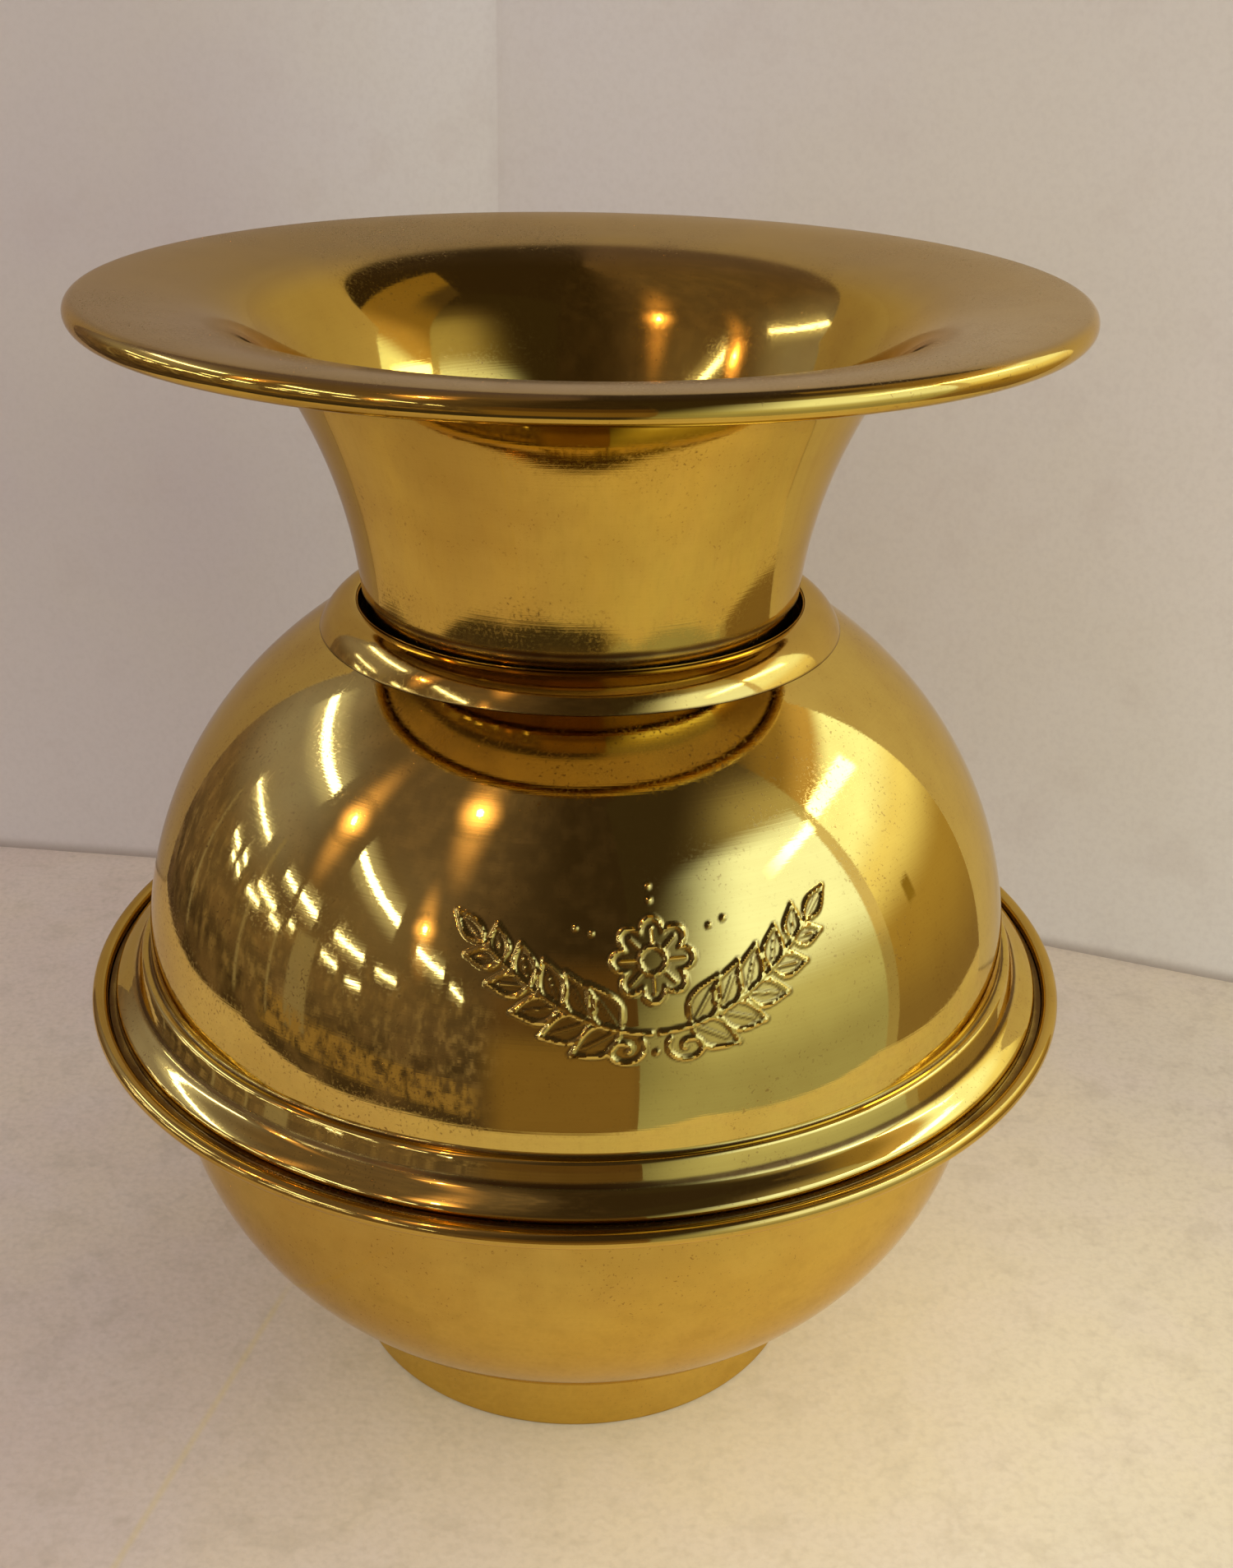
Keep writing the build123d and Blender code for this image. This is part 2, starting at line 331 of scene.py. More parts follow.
def dome_sides():
    """The dome from its flange in over shoulder, swell, cove and ridge and up to its bored opening."""
    back_of_ridge = math.radians(ridge_lean - 90.0)
    ridge_top = (dome_belly_radius + ridge_reach, flange_height + ridge_rise, IN)
    ridge = (ridge_top[0] + ridge_curve * math.cos(back_of_ridge),
             ridge_top[1] - ridge_curve * (1 - math.sin(back_of_ridge)), ridge_lean)
    wall_foot = math.asin((ridge_top[1] + dome_corner - dome_belly_height) / dome_rise)
    opening = math.acos((dome_opening_radius - overrun) / dome_belly_radius)
    brim = [(flange_radius, flange_height, IN), (shoulder_radius + shoulder_fillet, flange_height, IN),
            (shoulder_radius, flange_height + shoulder_fillet, UP),
            (shoulder_radius, flange_height + shoulder_rise, UP),
            (dome_belly_radius + swell_reach, flange_height + swell_rise, cove_lean),
            (dome_belly_radius + cove_reach, flange_height + cove_rise, cove_lean),
            ridge, ridge_top, (dome_belly_radius + dome_corner, ridge_top[1], IN)]
    wall = ellipse_run(dome_belly_height, dome_belly_radius, dome_rise, wall_foot, opening)
    right, left = sides_of(brim + wall[:1], upper_wall, dome_step)
    wall_right, wall_left = sides_of(wall, upper_wall, dome_step)
    fine = sides_of(wall, upper_wall, ornament_step)[0]
    low, high = ornament_band
    fine = fine[(fine[:, 1] > low) & (fine[:, 1] < high)]
    wall_right = np.concatenate([wall_right[wall_right[:, 1] <= low], fine,
                                 wall_right[wall_right[:, 1] >= high]])

    def outside_bore(points):
        return points[:, 0] - dome_opening_radius
    return (trim(np.concatenate([right, wall_right[1:]]), outside_bore),
            trim(np.concatenate([left, wall_left[1:]]), outside_bore))


def collar_sides():
    """The collar from its foot on the dome over its crest and down the socket to the funnel's seat."""
    reach = collar_width / math.cos(math.radians(collar_foot_angle))
    rise = collar_height / (1 - math.sin(math.radians(collar_foot_angle)))
    centre = collar_crest_height - rise
    sunk = math.asin((collar_crest_height - collar_height - overrun - centre) / rise)
    stations = ellipse_run(centre, reach, rise, sunk, math.pi / 2, collar_crest_radius)
    stations += [(socket_radius, collar_crest_height - collar_lip, DOWN),
                 (socket_radius, collar_seat_height + collar_seat_corner, DOWN),
                 (socket_radius - collar_seat_corner, collar_seat_height, IN),
                 (socket_radius - collar_seat_width, collar_seat_height, IN)]

    def above_dome(points):
        dome = dome_height_at(np.minimum(points[:, 0], dome_belly_radius))
        clear = points[:, 1] - dome - 1.2 * solder_gap
        return np.where(points[:, 0] > dome_opening_radius - solder_gap / 2, clear, 1.0)
    return [trim(side, above_dome) for side in sides_of(stations, upper_wall, collar_step)]


def funnel_sides():
    """The funnel from the end of its neck to the edge rolled under its brim."""
    heights = np.linspace(spigot_depth, flare_height, 4)
    stations = [neck_station(height) for height in heights]
    stations.append((mouth_radius - brim_width, mouth_height - brim_drop, brim_slope))
    stations += rolled_edge(mouth_radius - mouth_roll, mouth_height - mouth_roll, mouth_roll - upper_wall,
                            UP, mouth_roll_turn)
    return sides_of(stations, upper_wall, funnel_step)


def spigot_sides():
    """The sleeve that the neck is soldered over."""
    stations = [(spigot_radius, funnel_seat, UP),
                (spigot_radius, funnel_seat + spigot_depth - spigot_blend, UP)]
    for height in (spigot_depth + spigot_blend, spigot_depth + spigot_lap):
        stations.append(beside(neck_station(height), upper_wall + solder_gap))
    return sides_of(stations, upper_wall, spigot_step)


# Ornament: a rosette between two leafy sprays, drawn with raised lines

ornament_height = 172.5
ornament_radius = 108.6
ornament_reach = 47.0
ornament_band = (147.5, 192.5)
ornament_step = 0.475
line_half_width = 0.72
line_rise = 0.5
flower_height = 1.5
flower_eye = 3.1
spoke_reach = 7.6
leaves = ((0.20, 12.5), (0.38, 12.0), (0.56, 11.0), (0.74, 9.5), (0.90, 8.0))
leaf_leans = (44.0, -40.0)
beads = ((0.0, -19.5), (0.0, 15.0), (0.0, 18.2), (13.5, 8.0), (17.0, 9.2))


def along_run(points, share):
    """The place at a share of a run of points evenly spaced in share."""
    shares = np.linspace(0, 1, len(points))
    return np.array([np.interp(share, shares, points[:, 0]), np.interp(share, shares, points[:, 1])])


def nearest_on_run(u, v, points):
    """Distance from every (u, v) to a run of straight pieces through the points."""
    best = np.full(u.shape, np.inf)
    for (x0, y0), (x1, y1) in zip(points, points[1:]):
        length = (x1 - x0) ** 2 + (y1 - y0) ** 2
        share = np.clip(((u - x0) * (x1 - x0) + (v - y0) * (y1 - y0)) / length, 0, 1)
        best = np.minimum(best, np.hypot(u - x0 - share * (x1 - x0), v - y0 - share * (y1 - y0)))
    return best


def leaf(u, v, foot, heading, length, half_width):
    """Distance to the outline or midrib of a pointed leaf, and whether a point is inside it.

    Its half width at share s of its length is half_width * sin(pi s^0.8)^1.1.
    """
    c, s = math.cos(math.radians(heading)), math.sin(math.radians(heading))
    along = ((u - foot[0]) * c + (v - foot[1]) * s) / length
    across = np.abs((v - foot[1]) * c - (u - foot[0]) * s)
    share = np.clip(along, 0, 1)
    width = half_width * np.sin(np.pi * share ** 0.8) ** 1.1
    slack = np.hypot(across - width, (along - share) * length)
    rib = np.hypot(across, (along - np.clip(along, 0.0, 0.72)) * length) + 0.35
    inside = (across < width) & (along > 0) & (along < 1)
    return np.minimum(slack, rib), inside


def ornament(u, v):
    """Rise of the raised lines and depth of their patina at places (u, v) in millimetres."""
    u = np.abs(u)
    turn = np.arctan2(v - flower_height, u)
    radius = np.hypot(u, v - flower_height)
    petal = 6.6 + 2.9 * np.abs(np.cos(4 * turn)) ** 0.75
    off_spoke = np.abs((turn * 4 / np.pi + 0.5) % 1 - 0.5) * np.pi / 4 * radius
    on_spoke = (radius > flower_eye) & (radius < spoke_reach)
    gaps = [np.abs(radius - petal) * 0.8, np.abs(radius - flower_eye),
            np.where(on_spoke, off_spoke, np.inf) + 0.2]
    gaps += [np.hypot(u - bead_u, v - bead_v) - 0.1 for bead_u, bead_v in beads]
    filled = (radius < petal) & (radius > flower_eye)

    share = np.linspace(0, 1, 28)
    stem = np.stack([1.0 + 37.0 * share, -15.0 + 3.0 * share + 17.0 * share ** 2.2], 1)
    gaps.append(nearest_on_run(u, v, stem))
    grown = []
    for place, length in leaves:
        foot = along_run(stem, place)
        ahead = along_run(stem, place + 0.03)
        heading = math.degrees(math.atan2(ahead[1] - foot[1], ahead[0] - foot[0]))
        grown += [(foot, heading + lean, length, 0.27 * length) for lean in leaf_leans]
    grown.append((stem[-1], 48.0, 8.5, 2.2))
    for foot, heading, length, half_width in grown:
        outline, inside = leaf(u, v, foot, heading, length, half_width)
        gaps.append(outline)
        filled |= inside

    curl = np.linspace(0, 1, 40)
    sweep = -0.6 + 2.35 * np.pi * curl
    reach = 5.2 * (1 - 0.78 * curl)
    scroll = np.stack([7.6 - reach * np.cos(sweep), -18.6 - reach * np.sin(sweep) * 0.72], 1)
    gaps.append(nearest_on_run(u, v, scroll))
    distance = np.maximum(np.minimum.reduce(gaps), 0)
    rise = line_rise * np.clip(1 - (distance / line_half_width) ** 2, 0, 1) ** 2
    patina = 0.75 * np.exp(-((distance - 0.85) / 0.26) ** 2) + 0.16 * filled * (distance > 0.5)
    return rise, np.clip(patina, 0, 1)


# Meshes

def seam_depth(points, seams):
    """How deep in a seam each section point lies: the largest exp(-(distance / spread)^2)."""
    depth = np.zeros(len(points))
    for radius, height, spread in seams:
        gone = np.hypot(points[:, 0] - radius, points[:, 1] - height)
        depth = np.maximum(depth, np.exp(-(gone / spread) ** 2))
    return depth


def smooth_object(name, points, faces):
    """An object of the points, given in millimetres, and the faces, shaded smooth."""
    mesh = bpy.data.meshes.new(name)
    mesh.from_pydata((np.array(points) * MM).tolist(), [], faces)
    mesh.polygons.foreach_set("use_smooth", np.ones(len(mesh.polygons), bool))
    obj = bpy.data.objects.new(name, mesh)
    bpy.context.scene.collection.objects.link(obj)
    return obj


def piece_object(name, points, faces, values):
    """A finished piece with its point values stored by name and its sharp edges kept sharp."""
    obj = smooth_object(name, points, faces)
    mesh = obj.data
    for title, value in values.items():
        mesh.attributes.new(title, "FLOAT", "POINT").data.foreach_set("value", value.astype(np.float32))
    mesh.update()
    mesh.validate()
    mesh.set_sharp_from_angle(angle=math.radians(38.0))
    return obj


def turned(name, sides, columns, seams):
    """A closed section carried round: point (r, z) at angle t goes to (r cos t, r sin t, z)."""
    right, left = sides
    section = np.concatenate([right, left[::-1]])
    section = section[np.r_[True, np.hypot(*np.diff(section, axis=0).T) > 1e-7]]
    along = np.r_[0, np.cumsum(np.hypot(*np.diff(section, axis=0).T))]
    depth = seam_depth(section, seams)
    angle = np.arange(columns) * 2 * np.pi / columns
    on_axis = section[:, 0] < 1e-6
    start = np.r_[0, np.cumsum(np.where(on_axis, 1, columns))]
    here = np.arange(columns)
    points = []
    rings = []
    for (radius, height), pole, first in zip(section, on_axis, start):
        turn = angle[:1] if pole else angle
        points.append(np.stack([radius * np.cos(turn), radius * np.sin(turn), 0 * turn + height], 1))
        rings.append(first + here * (not pole))
    faces = []
    for a, b in zip(rings, rings[1:] + rings[:1]):
        if a[0] < a[-1] or b[0] < b[-1]:
            quads = np.stack([a, np.roll(a, -1), np.roll(b, -1), b], 1).tolist()
            faces += [list(dict.fromkeys(quad)) for quad in quads]
    sizes = np.where(on_axis, 1, columns)
    values = {"along": np.repeat(along, sizes), "seam": np.repeat(depth, sizes),
              "relief": np.zeros(sizes.sum())}
    return piece_object(name, np.concatenate(points), faces, values)


def strip(a, b):
    """Faces between two open rows of equally many points."""
    return np.stack([a[:-1], a[1:], b[1:], b[:-1]], 1).tolist()


def ornamented_dome(name, sides, columns, seams):
    """The dome's closed section carried round, with finer columns and raised lines where the ornament is.

    A raised point moves out along the section's normal by the ornament's rise at (u, v), where u is the
    arc from the ornament's middle at its own radius and v the way up the section from its middle.
    """
    outer, inner = sides
    section = np.concatenate([outer, inner[::-1]])
    along = np.r_[0, np.cumsum(np.hypot(*np.diff(section, axis=0).T))]
    depth = seam_depth(section, seams)
    ahead = np.gradient(section, axis=0)
    ahead /= np.hypot(ahead[:, 0], ahead[:, 1])[:, None]
    normal = np.stack([ahead[:, 1], -ahead[:, 0]], 1)
    pitch = 2 * np.pi / columns
    middle = -np.pi / 2
    spread = math.ceil(ornament_reach / ornament_radius / pitch)
    parts = math.ceil(pitch * ornament_radius / ornament_step)
    coarse = middle + pitch * np.arange(spread, columns - spread + 1)
    fine = middle + pitch * (np.arange(2 * spread * parts + 1) / parts - spread)
    count = len(section)
    rows = np.arange(count)
    low, high = ornament_band
    in_band = (section[:, 1] > low) & (section[:, 1] < high) & (rows < len(outer))
    centre = np.interp(ornament_height, section[in_band, 1], along[in_band])
    points = []
    values = {"along": [], "seam": [], "relief": []}
    wide = []
    narrow = []
    total = 0
    for i in range(count):
        inside = fine if in_band[i] else fine[::parts]
        turn = np.concatenate([coarse, inside[1:-1]])
        lift = np.zeros(len(turn))
        patina = np.zeros(len(turn))
        if in_band[i]:
            u = (inside[1:-1] - middle) * section[i, 0]
            v = np.full(len(u), along[i] - centre)
            fade = min(1.0, 0.5 * min(i - rows[in_band][0], rows[in_band][-1] - i))
            rise, tint = ornament(u, v)
            lift[len(coarse):] = rise * fade
            patina[len(coarse):] = tint * fade
        radius = section[i, 0] + lift * normal[i, 0]
        height = section[i, 1] + lift * normal[i, 1]
        points.append(np.stack([radius * np.cos(turn), radius * np.sin(turn), height], 1))
        values["along"].append(np.full(len(turn), along[i]))
        values["seam"].append(np.full(len(turn), depth[i]))
        values["relief"].append(patina)
        wide.append(total + np.arange(len(coarse)))
        narrow.append(np.r_[total + len(coarse) - 1, total + np.arange(len(coarse), len(turn)), total])
        total += len(turn)
    faces = []
    for i in range(count):
        k = (i + 1) % count
        a, b = wide[i], wide[k]
        faces += strip(a, b)
        a, b = narrow[i], narrow[k]
        if len(a) == len(b):
            faces += strip(a, b)
            continue
        a_parts, b_parts = (parts, 1) if len(a) > len(b) else (1, parts)
        for j in range(2 * spread):
            near = a[j * a_parts:(j + 1) * a_parts + 1].tolist()
            far = b[j * b_parts:(j + 1) * b_parts + 1].tolist()
            faces.append(near + far[::-1])
    values = {title: np.concatenate(value) for title, value in values.items()}
    return piece_object(name, np.concatenate(points), faces, values)


# Shader sums

def plug(node, socket, wire):
    """Leads a value to a node's input."""
    wire.tree.links.new(wire.source, node.inputs[socket])


def arithmetic(operation, swapped=False):
    """A method that makes a Math node of a value and another one."""
    def method(self, other):
        pair = (other, self) if swapped else (self, other)
        return self.math(operation, *pair)
    return method


class Wire:
    """A value in a shader. Arithmetic on it makes Math nodes, and node() makes any other."""

    def __init__(self, tree, source=None):
        self.tree = tree
        self.source = source

    def node(self, kind, settings, inputs, out=0):
        made = self.tree.nodes.new("ShaderNode" + kind)
        for title, value in settings.items():
            setattr(made, title, value)
        for socket, value in inputs.items():
            if isinstance(value, Wire):
                plug(made, socket, value)
            else:
                made.inputs[socket].default_value = value
        return Wire(self.tree, made.outputs[out])

    def math(self, operation, *values):
        return self.node("Math", {"operation": operation}, dict(enumerate(values)))

    __add__ = __radd__ = arithmetic("ADD")
    __sub__ = arithmetic("SUBTRACT")
    __rsub__ = arithmetic("SUBTRACT", swapped=True)
    __mul__ = __rmul__ = arithmetic("MULTIPLY")
    __truediv__ = arithmetic("DIVIDE")
    __pow__ = arithmetic("POWER")
    at_least = arithmetic("MAXIMUM")

    def along_with(self, other):
        """Length of the pair of this value and another."""
        return (self * self + other * other) ** 0.5

    def size(self):
        return self.math("ABSOLUTE", self)

    def ramp(self, low, high, start=0.0, end=1.0):
        """Eases from start to end while the value goes from low to high."""
        return self.node("MapRange", {"interpolation_type": "SMOOTHSTEP"},
                         {0: self, 1: low, 2: high, 3: start, 4: end})

    def fall(self, low, high):
        """Eases from one to zero while the value goes from low to high."""
        return self.ramp(low, high, 1.0, 0.0)

    def window(self, low, high, edge):
        """One between low and high, zero outside, eased over the edge."""
        return self.ramp(low - edge, low + edge) * self.fall(high - edge, high + edge)

    def blend(self, first, second):
        """Goes from the first colour to the second with this value as the share."""
        pair = {6: first if isinstance(first, Wire) else (*first, 1.0),
                7: second if isinstance(second, Wire) else (*second, 1.0)}
        return self.node("Mix", {"data_type": "RGBA"}, {0: self, **pair}, out=2)

    def noise(self, vector, scale, detail=2.0, roughness=0.5):
        return self.node("TexNoise", {}, {"Vector": vector, "Scale": scale, "Detail": detail,
                                          "Roughness": roughness})

    def layers(self, *pairs):
        """Lays colours over this one, each by its share."""
        colour = self
        for share, over in pairs:
            colour = share.blend(colour, over)
        return colour

    def join(self, x, y, z):
        return self.node("CombineXYZ", {}, {0: x, 1: y, 2: z})

    def split(self, vector):
        parts = self.node("SeparateXYZ", {}, {0: vector})
        return [Wire(self.tree, output) for output in parts.source.node.outputs]

    def place(self):
        """Object coordinates in metres."""
        return self.node("TexCoord", {}, {}, out="Object")

    def stored(self, title):
        """A point value of the mesh."""
        return self.node("Attribute", {"attribute_name": title}, {}, out="Fac")

    def ray(self, kind):
        """One for rays of a kind, else zero."""
        return self.node("LightPath", {}, {}, out=kind)

    def azimuth(self, x, y):
        """Degrees from the side that faces the viewer towards the right."""
        return self.math("ARCTAN2", x, 0 - y) * (180 / math.pi)


def new_material(name, settings):
    """A material with one Principled shader, and a Wire to build its sums with."""
    material = bpy.data.materials.new(name)
    material.use_nodes = True
    shader = material.node_tree.nodes["Principled BSDF"]
    for title, value in settings.items():
        shader.inputs[title].default_value = value
    return material, shader, Wire(material.node_tree)


def brass(name, clean, worn, gloss, wear, speckle, film=None):
    """Turned brass: spin lines, cloudy wear, brown speckles, and brown tarnish in seams and relief.

    The spin lines are noise that is nearly even round the axis and quick along the section. The film, a
    low and a high place in metres, is where handling has greyed the metal.
    """
    material, shader, wire = new_material(name, {"Metallic": 1.0, "Specular Tint": (0.92, 0.84, 0.68, 1.0),
                                                 "Anisotropic": 0.55, "Anisotropic Rotation": 0.25})
    place = wire.place()
    x, y, z = wire.split(place)
    round_axis = wire.math("ARCTAN2", y, x)
    turned_place = wire.join(wire.math("COSINE", round_axis) * 1.2, wire.math("SINE", round_axis) * 1.2,
                             wire.stored("along") * 1.9)
    spin = wire.noise(turned_place, 1.0, 2.0, 0.6)
    cloud = wire.noise(place, 17.0, 3.0, 0.6)
    fine_cloud = wire.noise(place, 75.0, 2.0, 0.6)
    dots = wire.noise(place, 1250.0, 1.0, 0.5)
    patchy = (cloud * 0.62 + fine_cloud * 0.38).ramp(0.4, 0.66)
    specks = dots.ramp(0.665 - speckle, 0.745 - speckle) * patchy.ramp(0.0, 1.0, 0.15, 1.0)
    seam = (wire.stored("seam") * (0.6 + fine_cloud * 0.8)).ramp(0.15, 0.9)
    tarnish = seam.at_least(wire.stored("relief"))
    toned = (patchy * wear).blend(clean, worn)
    toned = toned.layers((spin.ramp(0.3, 0.7) * 0.12, worn), (specks * 0.6, (0.26, 0.12, 0.03)))
    haze = dots.ramp(0.5, 0.6) * patchy.ramp(0.0, 0.8, 0.35, 1.0)
    dull = gloss + patchy * 0.05 * wear + (spin - 0.5) * 0.02 + haze * 0.055
    if film:
        rim = x.along_with(y).fall(0.1225, 0.1245)
        greyed = z.ramp(*film) * rim * (0.55 + cloud * 0.8)
        toned = (greyed * 0.85).blend(toned, (0.44, 0.32, 0.155))
        dull = dull + greyed * 0.14
    toned = (tarnish * 0.9).blend(toned, (0.085, 0.032, 0.009))
    plug(shader, "Base Color", toned)
    plug(shader, "Roughness", dull + specks * 0.12 + tarnish * 0.3)
    waves = wire.noise(place, 38.0, 0.0, 0.4)
    plug(shader, "Normal", wire.node("Bump", {}, {"Strength": 0.1, "Distance": 0.0004,
                                                  "Height": spin * 0.12 + waves * 0.8}))
    return material


def cast_iron():
    """Dark cast iron with a sandy skin."""
    material, shader, wire = new_material("cast_iron", {"Metallic": 0.6})
    sand = wire.noise(wire.place(), 900.0, 3.0, 0.6)
    plug(shader, "Base Color", sand.blend((0.035, 0.032, 0.03), (0.085, 0.072, 0.062)))
    plug(shader, "Roughness", sand * 0.2 + 0.55)
    plug(shader, "Normal", wire.node("Bump", {}, {"Strength": 0.5, "Distance": 0.0004, "Height": sand}))
    return material


# The stage: booth of pale boards, table and painted room

turn_to_front = -9.05
camera_place = (0.0, -478.2, 386.6)
camera_pitch = 24.48935
camera_yaw = 1.23903
camera_roll = 1.02905
camera_lens = 43.587
lamp_place = (0.68, -0.48, 0.92)
lamp_size = 0.85

left_board = ((-440, 319), (-262, 296), (-190, 286), (-30.6, 265.2))
right_board = ((-30.6, 265.2), (20, 255.5), (80, 243), (140, 229), (194, 212),
               (265, 182), (366, 140))
wall_height = 560.0
table_reach = 3000.0
fold_slope = 0.262
fold_place = -0.0868
table_edges = ((-430, 500), (-515, -70), (-228, -318), (-146, -347),
               (-43, -376), (190, -379), (430, -150), (430, 400))


def rotation(degrees, axis):
    return Matrix.Rotation(math.radians(degrees), 4, axis)


stage_turn = rotation(turn_to_front, "Z")


def stage_mesh(name, points, faces, material):
    """Something round the vessel, turned with the camera about the height axis."""
    obj = smooth_object(name, points, faces)
    obj.data.materials.append(material)
    obj.rotation_euler.z = math.radians(turn_to_front)
    return obj


def open_where(shader, share):
    """Lets light through a stage surface by a share from 0 to 1."""
    mixed = share.node("MixShader", {}, {0: share, 1: Wire(share.tree, shader.outputs[0]),
                                         2: share.node("BsdfTransparent", {}, {})})
    plug(share.tree.nodes["Material Output"], 0, mixed)


def board_paint():
    """Pale painted board, seen from its front only, with a faint seam. Painted light and shade: darker to
    the left and towards the top, lighter low down and beside the seam, darker at the left where mirrors see
    it, and a soft painted shade line where it meets the table.
    """
    material, shader, wire = new_material("booth_board", {"Roughness": 0.55})
    place = wire.place()
    x, _, z = wire.split(place)
    cloud = wire.noise(place, 5.0, 4.0, 0.55)
    stain = wire.noise(place, 34.0, 4.0, 0.6)
    grain = wire.noise(place, 420.0, 2.0, 0.6)
    # Painted light: lighter low down and in a band beside the seam
    painted_light_low_down = x.ramp(-0.05, 0.25).blend((0.74, 0.67, 0.61), (0.83, 0.83, 0.77))
    painted_light_by_seam = (x.ramp(-0.17, -0.045) * x.ramp(-0.0331, -0.0321, 0.36, 0.17)
                   * x.fall(-0.01, 0.14))
    # Painted shade: the boards darker to the left, lighter to the right, as the light falls from the right
    base = x.ramp(-0.1, 0.3).blend((0.51, 0.44, 0.425), (0.73, 0.675, 0.61))
    base = base.layers(
        # Painted shade towards the top, then the painted light low down and beside the seam
        (z.ramp(0.1, 0.45, 0.0, 0.62), (0.54, 0.485, 0.465)),
        (z.ramp(0.0, 0.22, 0.5, 0.0), painted_light_low_down),
        (painted_light_by_seam, (0.82, 0.82, 0.78)),
        # Painted shade: the left board darker where mirrors see it
        (wire.ray("Is Glossy Ray") * x.ramp(-0.1, 0.05, 0.47, 0.0), (0.3, 0.23, 0.2)),
        (cloud.ramp(0.42, 0.66) * 0.24, (0.6, 0.55, 0.42)),
        (stain.ramp(0.52, 0.7) * 0.12, (0.46, 0.37, 0.33)),
        (grain.ramp(0.35, 0.75) * 0.1, (0.36, 0.3, 0.27)),
        (x.window(-0.0351, -0.0301, 0.0035) * 0.08, (0.3, 0.25, 0.22)),
        # Painted shade: a soft dark line along the foot of the board, where it meets the table
        (z.ramp(0.0, 0.006, 0.55, 0.0), (0.2, 0.13, 0.08)))
    plug(shader, "Base Color", base)
    open_where(shader, wire.node("NewGeometry", {}, {}, out="Backfacing"))
    return material


def table_top():
    """Cream vinyl with a leather grain, with painted light and shade: lighter and warmer towards the right
    front, a painted shadow at the left of the foot and a painted warm glow, given as emission, in front of
    and to the right of the foot. Reflections see it end at its edges.
    """
    material, shader, wire = new_material("cream_vinyl", {"Roughness": 0.42, "Emission Strength": 1.0})
    place = wire.place()
    x, y, _ = wire.split(place)
    cloud = wire.noise(place, 7.0, 4.0, 0.6)
    blot = wire.noise(place, 24.0, 3.0, 0.55)
    stain = wire.noise(place, 62.0, 4.0, 0.62)
    pores = wire.noise(place, 420.0, 3.0, 0.6)
    leather = wire.node("TexVoronoi", {"feature": "SMOOTH_F1"}, {"Vector": place, "Scale": 460.0})
    fold = (x - y * fold_slope - fold_place).size()
    # Painted shadow: a soft dark patch at the left of the foot, where the vessel's shadow falls
    painted_shadow_distance = (x + 0.24).along_with(y + 0.11)
    # Painted light: a warm glow on the table in front of and to the right of the foot, where light thrown
    # off the brass falls
    painted_glow_distance = (x - 0.08).along_with(y + 0.055)
    # Painted light and shade: the vinyl darker and pinker to the left and back, lighter and warmer to the
    # right and front, as the light falls from the right
    base = (x * 0.9 - y * 0.45).ramp(-0.15, 0.36).blend((0.625, 0.505, 0.44), (0.645, 0.6, 0.46))
    base = base.layers(
        (cloud.ramp(0.38, 0.66) * 0.36, (0.73, 0.61, 0.41)),
        (blot.ramp(0.46, 0.66) * 0.3, (0.66, 0.56, 0.51)),
        (stain.ramp(0.5, 0.68) * 0.28, (0.42, 0.35, 0.27)),
        (pores.ramp(0.42, 0.66) * 0.16, (0.36, 0.29, 0.22)),
        (leather.ramp(0.45, 0.85) * 0.2, (0.36, 0.29, 0.22)),
        (fold.ramp(0.0, 0.0018, 0.5, 0.0) * y.fall(-0.02, 0.0), (0.66, 0.52, 0.24)),
        # Painted shadow at the left of the foot
        (painted_shadow_distance.ramp(0.02, 0.2, 0.42, 0.0), (0.4, 0.3, 0.25)))
    inside = None
    for (x0, y0), (x1, y1) in zip(table_edges, table_edges[1:] + table_edges[:1]):
        length = math.hypot(x1 - x0, y1 - y0)
        offset = (x0 * (y1 - y0) - y0 * (x1 - x0)) / length * MM
        across = (x * (y1 - y0) - y * (x1 - x0)) / length - offset
        edge = across.fall(-0.004, 0.004)
        inside = edge if inside is None else inside * edge
    plug(shader, "Base Color", base)
    open_where(shader, wire.ray("Is Glossy Ray") * (1 - inside))
    # Painted light: the warm glow, given as emission
    lit = painted_glow_distance.fall(0.03, 0.24).blend(BLACK, (0.22, 0.18, 0.085))
    plug(shader, "Emission Color", lit)
    plug(shader, "Normal", wire.node("Bump", {}, {"Strength": 0.5, "Distance": 0.0003, "Height": leather}))
    return material


# Hall in front of the booth, in degrees of azimuth from the camera's side towards the right and of height.
# A tube lamp runs from one azimuth and height to another, with half its width. A post has the azimuth of
# its middle, half its width and its top
tube_lamps = ((-126.5, 33.0, -93.5, 35.8, 1.15), (-115.5, 16.6, -98.5, 16.3, 0.5),
              (-71.0, 32.8, -50.0, 23.6, 1.1), (-110.5, 8.4, -106, 7.9, 0.45),
              (-103.5, 9, -101, 8.2, 0.5), (-107.5, 6, -105.5, 5.7, 0.4), (-104, 6.1, -101.5, 5.3, 0.4),
              (-97, 5.7, -91, 5.6, 0.4), (-94, 8.9, -85.5, 8.1, 0.5), (-87.5, 15.9, -82, 15.1, 0.6),
              (-80, 15.4, -72.8, 14, 0.8), (-86.4, 6.2, -82.3, 5.6, 0.45), (-79.8, 8.4, -77.8, 7.8, 0.4),
              (-65.8, 13.4, -56, 11.4, 0.65), (-67.8, 7.4, -62.5, 6.1, 0.45),
              (-59.3, 4.4, -55, 4.1, 0.4), (-52, 10.1, -46, 9, 0.45), (-42.7, 19.2, -34.6, 14.8, 0.8),
              (-32, 12.4, -28.4, 9.4, 0.5))
posts = ((-94, 0.6, 20), (-82.3, 0.35, 9), (-73, 3.4, 9), (-118, 0.5, 12))
hall_dark = (0.04, 0.027, 0.023)


